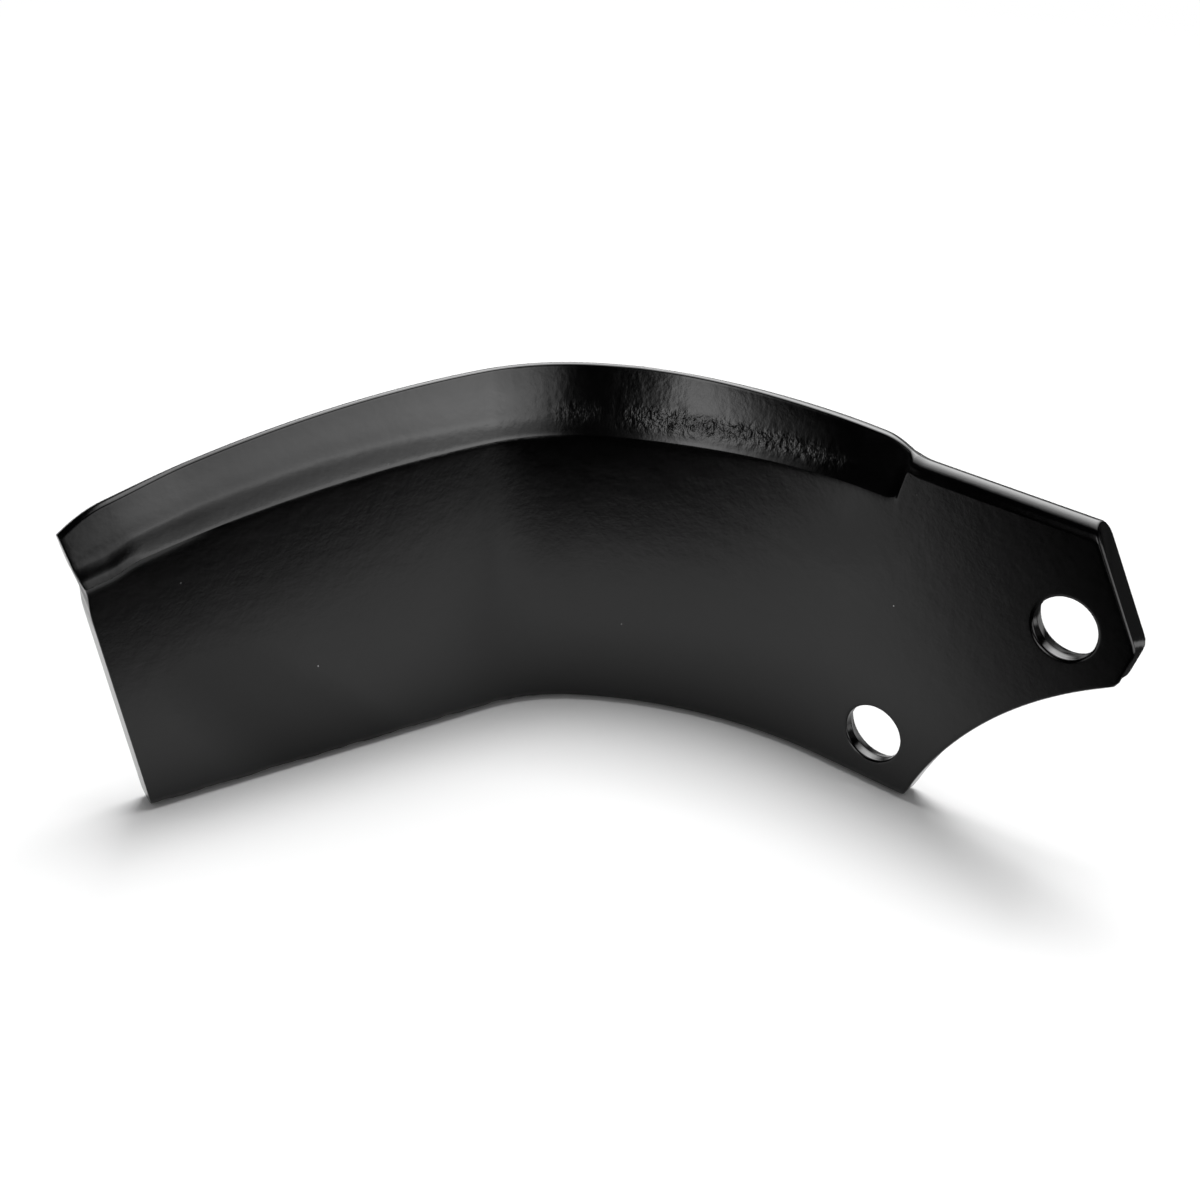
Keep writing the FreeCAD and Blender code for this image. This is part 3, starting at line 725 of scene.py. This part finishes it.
def paint_material():
    """Gloss black paint over forged stock."""
    material, tree = nodes_of("gloss_black_paint")
    where = add_node(tree, "ShaderNodeTexCoord").outputs["Object"]
    marks = add_node(tree, "ShaderNodeAttribute", attribute_name="hammer").outputs["Fac"]
    grain = add_node(tree, "ShaderNodeAttribute", attribute_name="grain").outputs["Vector"]

    def noise(scale, detail, rough, at=where):
        inputs = {"Scale": scale, "Detail": detail, "Roughness": rough, "Vector": at}
        return add_node(tree, "ShaderNodeTexNoise", inputs).outputs["Fac"]

    def stretched(across, upward, detail):
        scaled = add_node(tree, "ShaderNodeMapping", {"Scale": (across, upward, 0), "Vector": grain})
        return noise(1.0, detail, 0.55, scaled.outputs[0])

    def relief(height, distance, strength, below=None):
        inputs = {"Strength": strength, "Distance": distance, "Height": height}
        if below is not None:
            inputs["Normal"] = below
        return add_node(tree, "ShaderNodeBump", inputs).outputs[0]

    colour = ramp_node(tree, noise(60, 4, 0.55), [(0.3, (0.0004, 0.0004, 0.0005, 1)),
                                                  (0.75, (0.0014, 0.0014, 0.0016, 1))], "LINEAR")
    # dust specks held in the paint
    specks = add_node(tree, "ShaderNodeTexVoronoi", {"Scale": 170, "Vector": where})
    dot = ranged(tree, specks.outputs["Distance"], 0.02, 0.035, 1, 0)
    chosen = ranged(tree, noise(90, 2, 0.5), 0.57, 0.61, 0, 0.8)
    inputs = {"Factor": combined(tree, "MULTIPLY", dot, chosen), 6: colour, 7: grey(0.55)}
    mixed = add_node(tree, "ShaderNodeMix", inputs, data_type="RGBA")
    # slow waves, the skin of the rolled stock and orange peel, then the marks of the hammer on the bevel
    slow = relief(noise(70, 2, 0.5), 0.0003, 0.25)
    skin = relief(noise(260, 4, 0.6), 0.00012, 0.42, slow)
    peel = relief(noise(900, 2, 0.5), 0.00004, 0.3, skin)
    hammered = relief(stretched(680, 560, 3), 0.00042, marks, peel)
    streaked = relief(stretched(330, 40, 2), 0.00012, marks, hammered)
    rough = ranged(tree, noise(35, 5, 0.6), 0.3, 0.75, 0.10, 0.19)
    shader = add_node(tree, "ShaderNodeBsdfPrincipled", {"IOR": 1.47, "Metallic": 0.0, "Roughness": rough,
                                                         "Base Color": mixed.outputs[2], "Normal": streaked})
    add_node(tree, "ShaderNodeOutputMaterial", {0: shader.outputs[0]})
    return material


blade.data.materials.append(paint_material())
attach(blade, "root")
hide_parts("blade")


# Studio: lengths in metres, angles in degrees
def floor_material():
    """Pale paper to the camera. In reflections a painted mask cuts it away to the black world, which paints
    dark reflections on the blade.
    """
    material, tree = nodes_of("pale_floor")
    where = add_node(tree, "ShaderNodeTexCoord").outputs["Object"]
    spot = add_node(tree, "ShaderNodeSeparateXYZ", {0: where}).outputs
    path = add_node(tree, "ShaderNodeLightPath").outputs

    def reach(direction):
        node = add_node(tree, "ShaderNodeVectorMath", {0: where, 1: direction}, operation="DOT_PRODUCT")
        return node.outputs["Value"]

    # painted dark reflections: the share of the paper that glossy rays do not see, growing towards the front,
    # the right and behind the blade, with a band to the front left
    front = ranged(tree, reach((0.766, -0.643, 0)), -0.02, 0.08)
    left = ranged(tree, reach((-0.6, -0.8, 0)), 0.09, 0.19)
    painted_reflection_cut = grey_ramp(tree, front, [(0, 0.12), (0.2, 0.16), (0.3, 0.22), (0.4, 0.38), (0.5, 0.6), (0.6, 0.75),
                                   (0.7, 0.85), (0.8, 0.93), (1, 1)], "LINEAR")
    for edge in (ranged(tree, spot["X"], 0.045, 0.1, curve="SMOOTHSTEP"),
                 ranged(tree, spot["Y"], -0.004, 0.03, to_high=0.97, curve="SMOOTHSTEP"),
                 grey_ramp(tree, left, [(0, 0), (0.1, 0), (0.3, 0.3), (0.45, 0.35), (0.7, 0), (1, 0)])):
        painted_reflection_cut = combined(tree, "MAXIMUM", painted_reflection_cut, edge)
    paper = add_node(tree, "ShaderNodeBsdfDiffuse", {"Color": grey(0.96)})
    # transparent for glossy rays where the mask says, so reflections show the black world there: painted dark
    # reflection
    reflection_gap = add_node(tree, "ShaderNodeBsdfTransparent")
    floor_as_reflected = add_node(tree, "ShaderNodeMixShader",
                     {"Fac": combined(tree, "MULTIPLY", path["Is Glossy Ray"], painted_reflection_cut),
                      1: paper.outputs[0], 2: reflection_gap.outputs[0]})
    # beyond the lamp's reach the camera sees the paper run into the white backdrop
    span = add_node(tree, "ShaderNodeVectorMath", {0: where}, operation="LENGTH")
    outward = ranged(tree, span.outputs["Value"], 0.35, 0.9, curve="SMOOTHSTEP")
    backdrop = add_node(tree, "ShaderNodeEmission", {"Color": grey(1), "Strength": 1.0})
    paper_end = add_node(tree, "ShaderNodeMixShader",
                         {"Fac": combined(tree, "MULTIPLY", outward, path["Is Camera Ray"]),
                          1: floor_as_reflected.outputs[0], 2: backdrop.outputs[0]})
    add_node(tree, "ShaderNodeOutputMaterial", {0: paper_end.outputs[0]})
    return material


def glow_material(name, strength, across, upward):
    """Soft lamp cloth: brightness falls off over the card by two rows of stops."""
    material, tree = nodes_of(name)
    where = add_node(tree, "ShaderNodeTexCoord").outputs["Generated"]
    split = add_node(tree, "ShaderNodeSeparateXYZ", {0: where}).outputs
    inputs = {0: grey_ramp(tree, split["X"], across), 1: grey_ramp(tree, split["Y"], upward)}
    product = add_node(tree, "ShaderNodeVectorMath", inputs, operation="MULTIPLY")
    glow = add_node(tree, "ShaderNodeEmission", {"Color": product.outputs[0], "Strength": strength})
    add_node(tree, "ShaderNodeOutputMaterial", {0: glow.outputs[0]})
    return material


def aimed(az, el, distance, target):
    """Place of a thing that stands off a target in one direction and faces it."""
    a, e = math.radians(az), math.radians(el)
    d = Vector((math.cos(a) * math.cos(e), math.sin(a) * math.cos(e), math.sin(e)))
    turn = d.to_track_quat("Z", "Y").to_matrix().to_4x4()
    return Matrix.Translation(Vector(target) + d * distance) @ turn


def flat_mesh(name, left, right, bottom, top, z, material):
    mesh = bpy.data.meshes.new(name)
    corners = [(left, bottom, z), (right, bottom, z), (right, top, z), (left, top, z)]
    mesh.from_pydata(corners, [], [(0, 1, 2, 3)])
    mesh.materials.append(material)
    return mesh


def card(name, az, el, distance, strength, across, upward, target):
    """A card seen only in reflections. Its stops give angles about the target, and the brightness there."""
    def spread(stops, middle):
        x = [distance * math.tan(math.radians(angle - middle)) for angle, _ in stops]
        low, high = x[0], x[-1]
        return low, high, [((v - low) / (high - low), stop[1]) for v, stop in zip(x, stops)]

    left, right, rows = spread(across, az)
    bottom, top, columns = spread(upward, el)
    material = glow_material(name, strength, rows, columns)
    obj = add_object(name, flat_mesh(name, left, right, bottom, top, 0, material))
    obj.matrix_world = aimed(az, el, distance, target)
    obj.visible_camera = False
    obj.visible_diffuse = False
    obj.visible_shadow = False
    obj.visible_transmission = False


ground = add_object("floor", flat_mesh("floor", -6, 6, -6, 6, FLOOR / 1000, floor_material()))

card("softbox_front", -80, 5, 1.4, 3.9,
     [(-108, 0), (-104, 0.02), (-100, 0.07), (-96, 0.15), (-92, 0.3), (-88, 0.57), (-84, 0.79), (-80, 0.97),
      (-78, 1), (-76, 0.9), (-72, 0.47), (-68, 0.15), (-64, 0.015), (-61, 0)],
     [(-13, 0), (-10, 0.25), (-7, 0.6), (-4, 0.8), (0, 0.88), (8, 1), (12, 1), (18, 0.8), (28, 0.0)],
     (-0.062, -0.012, 0.042))
card("softbox_right", -8, 2, 0.55, 4.0,
     [(-45, 0), (-40, 0.01), (-36, 0.06), (-25, 0.36), (-15, 0.63), (-4, 0.8), (5, 1), (12, 0.9), (20, 0.5),
      (30, 0)],
     [(-19, 0), (-15, 0.4), (-11, 0.62), (-6, 0.72), (0, 0.8), (3, 0.92), (5, 1), (7, 0.9), (10, 0.65),
      (14, 0.45), (30, 0)],
     (-0.1, -0.05, 0.042))
card("softbox_back", 118, 50, 1.0, 8.4,
     [(68, 0), (78, 0.3), (95, 0.8), (118, 1), (140, 0.8), (158, 0.3), (168, 0)],
     [(0, 0.02), (7, 0.06), (16, 0.2), (25, 0.46), (43, 1), (60, 0.85), (70, 0.7), (80, 0.5), (95, 0.28),
      (106, 0.18), (112, 0)],
     (-0.01, -0.003, 0.045))
card("screen_back", 92, -14, 0.6, 0.5,
     [(60, 0), (72, 1), (92, 1), (102, 0)],
     [(-27, 0), (-21, 0.8), (-12, 1), (-6, 0.6), (-2, 0)],
     (-0.03, 0.0, 0.0))
card("screen_far", 46, -16, 0.7, 1.0,
     [(18, 0), (32, 1), (60, 1), (72, 0)],
     [(-27, 0), (-21, 0.8), (-13, 1), (-6, 0)],
     (0.0, 0.0, 0.0))
card("screen_behind", 150, -14, 1.0, 0.3,
     [(100, 0), (114, 1), (180, 1), (198, 0)],
     [(-28, 0), (-20, 0.8), (-10, 1), (-2, 0.8), (2, 0)],
     (-0.06, 0.0, 0.0))
card("screen_end", 52, 3, 0.8, 0.09,
     [(34, 0), (42, 1), (60, 1), (66, 0)],
     [(-12, 0), (-8, 0.7), (10, 1), (16, 0)],
     (0.03, -0.003, 0.01))
card("strip_high", -18, 15, 0.7, 11.0,
     [(-46, 0), (-38, 1), (4, 1), (12, 0)],
     [(10, 0), (13, 1), (18, 1), (22, 0)],
     (0.02, -0.006, 0.02))

lamp_data = bpy.data.lights.new("overhead", "AREA")
lamp_data.shape = "RECTANGLE"
lamp_data.size = 1.6
lamp_data.size_y = 1.6
lamp_data.energy = 90
lamp = add_object("overhead", lamp_data)
lamp.matrix_world = aimed(112, 79, 3.0, (-0.04, -0.04, 0.0))
lamp.visible_camera = False
lamp.visible_glossy = False

# The world is a weak fill, black in reflections and white to the camera.
world = bpy.data.worlds.new("studio")
bpy.context.scene.world = world
world.use_nodes = True
sky = world.node_tree
sky.nodes.clear()
fill, dark, seen = [add_node(sky, "ShaderNodeBackground", {"Color": grey(1), "Strength": strength}).outputs[0]
                    for strength in (0.25, 0.0, 1.0)]
ray = add_node(sky, "ShaderNodeLightPath").outputs
reflected = add_node(sky, "ShaderNodeMixShader", {"Fac": ray["Is Glossy Ray"], 1: fill, 2: dark})
viewed = add_node(sky, "ShaderNodeMixShader", {"Fac": ray["Is Camera Ray"], 1: reflected.outputs[0], 2: seen})
add_node(sky, "ShaderNodeOutputWorld", {0: viewed.outputs[0]})

camera_data = bpy.data.cameras.new("camera")
camera_data.lens = 50.554
camera_data.sensor_width = 36
camera_data.clip_start = 0.01
camera = add_object("camera", camera_data)
camera_right = Vector((0.78033734, 0.62349468, 0.04824955))
camera_up = Vector((-0.35498988, 0.37812528, 0.8549874))
camera_back = Vector((0.51483572, -0.6843067, 0.51639958))
camera_turn = Matrix((camera_right, camera_up, camera_back)).transposed().to_4x4()
camera.matrix_world = Matrix.Translation((0.11565682, -0.28695729, 0.1929048)) @ camera_turn
bpy.context.scene.camera = camera
bpy.context.scene.view_settings.view_transform = "Standard"
